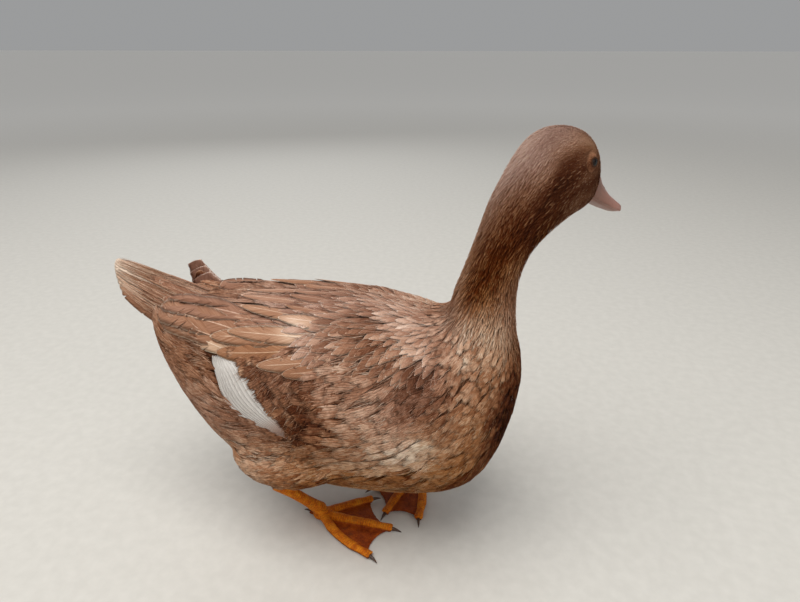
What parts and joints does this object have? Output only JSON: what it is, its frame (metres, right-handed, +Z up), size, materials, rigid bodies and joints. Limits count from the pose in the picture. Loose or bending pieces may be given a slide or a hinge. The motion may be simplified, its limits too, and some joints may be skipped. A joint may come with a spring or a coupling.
{
  "type": "duck",
  "caption": "Standing brown domestic duck with webbed feet flat on the floor, folded wings, a raised wedge of a tail and its head turned to its left.",
  "frame": {"origin": "middle of the whole bird's footprint box, on the floor it stands on", "axes": "+X the way the body faces, from tail to breast; +Y the bird's left; +Z up. The head is turned towards +Y."},
  "size_m": [0.4248, 0.183, 0.3477],
  "materials": {
    "body_plumage": "matte, soft feathers",
    "wing_plumage": "satin, smooth feather vanes",
    "tail_plumage": "satin, smooth feather vanes",
    "neck_plumage": "matte, fine hair-like feathers",
    "bill": "satin horn",
    "eye": "wet gloss",
    "leg_skin": "satin scaled skin",
    "claw": "satin horn"
  },
  "bodies": {
    "root": {"trunk": "body_plumage", "neck": "neck_plumage", "head": "neck_plumage", "eye_right": "eye", "eye_left": "eye", "bill_upper": "bill", "bill_lower": "bill", "wing_right": "wing_plumage", "wing_left": "wing_plumage", "tail": "tail_plumage", "thigh_right": "body_plumage", "thigh_left": "body_plumage", "shank_right": "leg_skin", "shank_left": "leg_skin", "foot_right": "leg_skin", "foot_left": "leg_skin", "claw_right_inner": "claw", "claw_right_middle": "claw", "claw_right_outer": "claw", "claw_right_hind": "claw", "claw_left_inner": "claw", "claw_left_middle": "claw", "claw_left_outer": "claw", "claw_left_hind": "claw"}
  },
  "joints": []
}
